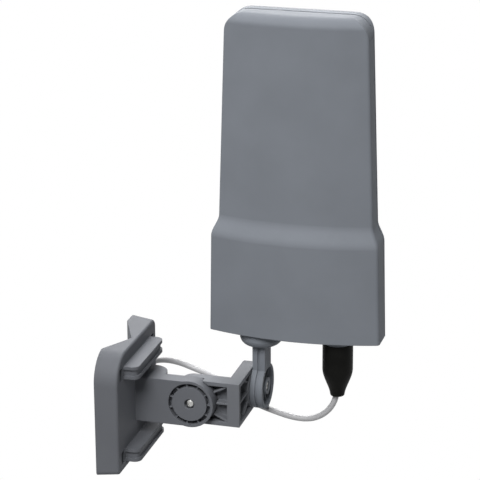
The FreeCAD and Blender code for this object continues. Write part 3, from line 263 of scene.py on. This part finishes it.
def circuit_laminate(name, colour):
    material, tree, shader = node_tree(name)
    weave = object_noise(tree, 700.0, detail=4.0)
    tree.links.new(tinted(tree, weave, shade(colour, 0.75), shade(colour, 1.2)), shader.inputs["Base Color"])
    tree.links.new(spread(tree, weave, 0.25, 0.4), shader.inputs["Roughness"])
    bump(tree, shader, [(weave, 0.00003)], 0.3)
    return material


HOUSING_GREY = (0.185, 0.2, 0.224)
BRACKET_GREY = (0.128, 0.134, 0.148)
LINK_GREY = (0.152, 0.159, 0.174)

looks = {
    "housing": moulded_plastic("housing_plastic", HOUSING_GREY, 0.64, 1700.0, 0.00005),
    "bracket": moulded_plastic("bracket_plastic", BRACKET_GREY, 0.62, 1500.0, 0.00006),
    "link": moulded_plastic("link_plastic", LINK_GREY, 0.6, 1500.0, 0.00006),
    "boot": rubber("boot_rubber", (0.006, 0.006, 0.0055), 0.5),
    "seal": rubber("seal_rubber", (0.045, 0.046, 0.049), 0.6),
    "steel": plated_metal("bright_steel", (0.45, 0.45, 0.44), 0.26),
    "nickel": plated_metal("nickel_plate", (0.72, 0.69, 0.63), 0.26),
    "tin": plated_metal("tin_plate", (0.7, 0.7, 0.68), 0.34),
    "sheet": plated_metal("radiator_sheet", (0.8, 0.8, 0.8), 0.38),
    "board": circuit_laminate("board_laminate", (0.02, 0.12, 0.05)),
    "jacket": cable_jacket("cable_jacket", (0.42, 0.42, 0.43)),
}

LOOK_OF_SLOT = {
    "moulded_grey": "bracket",
    "housing_grey": "housing",
    "bright_steel": "steel",
    "board_green": "board",
    "radiator_sheet": "sheet",
    "tin_plate": "tin",
    "nickel_brass": "nickel",
    "cable_white": "jacket",
}
LOOK_OF_NODE = {"cable_boot": "boot", "housing_seal": "seal", "link_bracket": "link", "stem": "housing"}

for entry in frame["record"]["subparts"]:
    node = entry["node"]
    look = LOOK_OF_NODE.get(node) or LOOK_OF_SLOT[entry["material_slot"]]
    materials = nodes[node].data.materials
    materials.clear()
    materials.append(looks[look])


def route_points(route_mm):
    """Points read along the route's NURBS spline."""
    curve = bpy.data.curves.new("cable_route", "CURVE")
    curve.dimensions = "3D"
    spline = curve.splines.new("NURBS")
    spline.points.add(len(route_mm) - 1)
    for point, place in zip(spline.points, route_mm):
        point.co = (*(Vector(place) * MM), 1.0)
    spline.order_u = 3
    spline.use_endpoint_u = True
    spline.resolution_u = CABLE_SAMPLES_PER_POINT
    carrier = bpy.data.objects.new("cable_route", curve)
    scene.collection.objects.link(carrier)
    bpy.context.view_layer.update()
    line = bpy.data.meshes.new_from_object(carrier)
    points = [vertex.co.copy() for vertex in line.vertices]
    bpy.data.objects.remove(carrier)
    bpy.data.meshes.remove(line)
    return points


def ring_axes(points):
    """An upright and a sideways direction at each point, carried along the line without twist."""
    axes = []
    across = Vector((0, 1, 0))
    for index, point in enumerate(points):
        before = points[max(index - 1, 0)]
        after = points[min(index + 1, len(points) - 1)]
        along = (after - before).normalized()
        across = (across - along * across.dot(along)).normalized()
        axes.append((across, along.cross(across)))
    return axes


def tube(name, points, axes, radius):
    """A closed tube of rings round the points."""
    vertices, faces = [], []
    for point, (across, up) in zip(points, axes):
        for side in range(CABLE_SIDES):
            angle = 2 * math.pi * side / CABLE_SIDES
            vertices.append(point + (across * math.cos(angle) + up * math.sin(angle)) * radius)
    for ring in range(len(points) - 1):
        for side in range(CABLE_SIDES):
            following = (side + 1) % CABLE_SIDES
            low, high = ring * CABLE_SIDES, (ring + 1) * CABLE_SIDES
            faces.append((low + side, low + following, high + following, high + side))
    last = (len(points) - 1) * CABLE_SIDES
    faces.append(tuple(reversed(range(CABLE_SIDES))))
    faces.append(tuple(range(last, last + CABLE_SIDES)))
    mesh = bpy.data.meshes.new(name)
    mesh.from_pydata(vertices, [], faces)
    mesh.update()
    for polygon in mesh.polygons:
        polygon.use_smooth = len(polygon.vertices) == 4
    made = bpy.data.objects.new(name, mesh)
    scene.collection.objects.link(made)
    mesh.materials.append(looks["jacket"])
    return made


def cable_sections():
    """The cable in three sections, cut at two points along its length."""
    points = route_points(CABLE_ROUTE_MM)
    axes = ring_axes(points)
    bottom = max(i for i, p in enumerate(points) if p.x > SWIVEL_END_X)
    middle = max(i for i, p in enumerate(points) if p.x > TILT_END_X)
    spans = [
        ("cable_at_plug", 0, bottom, ("stem", "panel"), SWIVEL_BEND_X),
        ("cable_at_link", bottom, middle, ("link", "stem"), TILT_BEND_X),
        ("cable_at_wall", middle, len(points) - 1, ("bracket", "link"), ROLL_BEND_X),
    ]
    for name, first, last, bodies, (near_x, far_x) in spans:
        line = points[first:last + 1]
        piece = tube(name, line, axes[first:last + 1], CABLE_DIAMETER / 2)
        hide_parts("coax_cable")
        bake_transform(piece)


cable_sections()


def boot_profile(length):
    """Closed outline of (radius, depth): down the outside, round the lip and up the stepped bore."""
    outline = [(BOOT_R - BOOT_LIP_R / 2, 0.0), (BOOT_R, BOOT_LIP_R / 2)]
    for ring in range(BOOT_TAPER_RINGS + 1):
        depth = BOOT_TAPER_FROM + (length - BOOT_LIP_R - BOOT_TAPER_FROM) * ring / BOOT_TAPER_RINGS
        part = (depth - BOOT_TAPER_FROM) / (BOOT_TAPER_TO - BOOT_TAPER_FROM)
        outline.append((BOOT_R + (BOOT_NECK_R - BOOT_R) * part * part * (3 - 2 * part), depth))
    neck = outline[-1][0]
    for step in range(1, BOOT_LIP_STEPS + 1):
        turn = math.radians(90 * step / BOOT_LIP_STEPS)
        inward = BOOT_LIP_R * (1 - math.cos(turn))
        outline.append((neck - inward, length - BOOT_LIP_R * (1 - math.sin(turn))))
    for index in reversed(range(len(BOOT_BORE))):
        radius, end = BOOT_BORE[index]
        start = BOOT_BORE[index - 1][1] if index else 0.0
        outline += [(radius, min(end, length)), (radius, start)]
    return outline


def moulded_boot():
    """The plug's boot, turned round the CAD boot's axis."""
    low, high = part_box("cable_boot")
    middle = (Vector(low) + Vector(high)) / 2
    outline = boot_profile(high[2] - low[2])
    vertices, faces = [], []
    for side in range(BOOT_SIDES):
        angle = 2 * math.pi * side / BOOT_SIDES
        across, along = math.cos(angle), math.sin(angle)
        for radius, depth in outline:
            vertices.append((middle.x + radius * across, middle.y + radius * along, high[2] - depth))
    count = len(outline)
    for side in range(BOOT_SIDES):
        here, there = side * count, (side + 1) % BOOT_SIDES * count
        for index in range(count):
            following = (index + 1) % count
            faces.append((here + index, here + following, there + following, there + index))
    mesh = bpy.data.meshes.new("moulded_boot")
    mesh.from_pydata(vertices, [], faces)
    mesh.update()
    mesh.shade_smooth()
    mesh.set_sharp_from_angle(angle=BOOT_SHARP_ANGLE)
    mesh.materials.append(looks["boot"])
    made = bpy.data.objects.new("moulded_boot", mesh)
    scene.collection.objects.link(made)
    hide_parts("cable_boot")
    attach(made, "panel")


moulded_boot()


def white_backdrop(tree, output, lit_shader):
    """Pure white to the camera and in reflections, and lit_shader for every other ray."""
    path = tree.nodes.new("ShaderNodeLightPath")
    seen = path.outputs["Is Camera Ray"]
    for ray in ("Is Glossy Ray", "Is Transmission Ray"):
        either = tree.nodes.new("ShaderNodeMath")
        either.operation = "MAXIMUM"
        tree.links.new(seen, either.inputs[0])
        tree.links.new(path.outputs[ray], either.inputs[1])
        seen = either.outputs[0]
    mix = tree.nodes.new("ShaderNodeMixShader")
    kind = "ShaderNodeBackground" if output.type == "OUTPUT_WORLD" else "ShaderNodeEmission"
    white = add(tree, kind, Color=(1, 1, 1, 1), Strength=1.0)
    tree.links.new(seen, mix.inputs[0])
    tree.links.new(lit_shader.outputs[0], mix.inputs[1])
    tree.links.new(white.outputs[0], mix.inputs[2])
    tree.links.new(mix.outputs[0], output.inputs["Surface"])


def floor():
    low = cad_box[0].z - FLOOR_DROP
    signs = ((-1, -1), (1, -1), (1, 1), (-1, 1))
    corners = [(x * FLOOR_HALF, y * FLOOR_HALF, low) for x, y in signs]
    mesh = bpy.data.meshes.new("floor")
    mesh.from_pydata(corners, [], [(0, 1, 2, 3)])
    made = bpy.data.objects.new("floor", mesh)
    scene.collection.objects.link(made)
    material, tree, shader = node_tree("floor_white")
    shader.inputs["Base Color"].default_value = (FLOOR_TONE, FLOOR_TONE, FLOOR_TONE, 1)
    shader.inputs["Roughness"].default_value = 0.9
    output = next(n for n in tree.nodes if n.type == "OUTPUT_MATERIAL")
    white_backdrop(tree, output, shader)
    mesh.materials.append(material)


def world():
    made = bpy.data.worlds.new("studio")
    made.use_nodes = True
    tree = made.node_tree
    tree.nodes["Background"].inputs["Color"].default_value = (1, 1, 1, 1)
    tree.nodes["Background"].inputs["Strength"].default_value = WORLD_STRENGTH
    output = next(n for n in tree.nodes if n.type == "OUTPUT_WORLD")
    white_backdrop(tree, output, tree.nodes["Background"])
    scene.world = made


def area_light(name, place, aim, size, power):
    data = bpy.data.lights.new(name, "AREA")
    data.shape = "RECTANGLE"
    data.size, data.size_y = size
    data.energy = power
    made = bpy.data.objects.new(name, data)
    scene.collection.objects.link(made)
    made.location = place
    made.rotation_euler = (Vector(aim) - Vector(place)).to_track_quat("-Z", "Y").to_euler()


def camera():
    data = bpy.data.cameras.new("photo_camera")
    data.sensor_width = SENSOR_MM
    data.lens = FOCAL_PX / IMAGE_WIDTH_PX * SENSOR_MM
    made = bpy.data.objects.new("photo_camera", data)
    scene.collection.objects.link(made)
    made.location = CAMERA_EYE
    aim = (CAMERA_TARGET - CAMERA_EYE).to_track_quat("-Z", "Y")
    made.rotation_euler = (aim @ Quaternion((0, 0, 1), CAMERA_ROLL)).to_euler()
    scene.camera = made


floor()
world()
for name, place, size, power in LAMPS:
    area_light(name, place, MIDDLE, size, power)
camera()
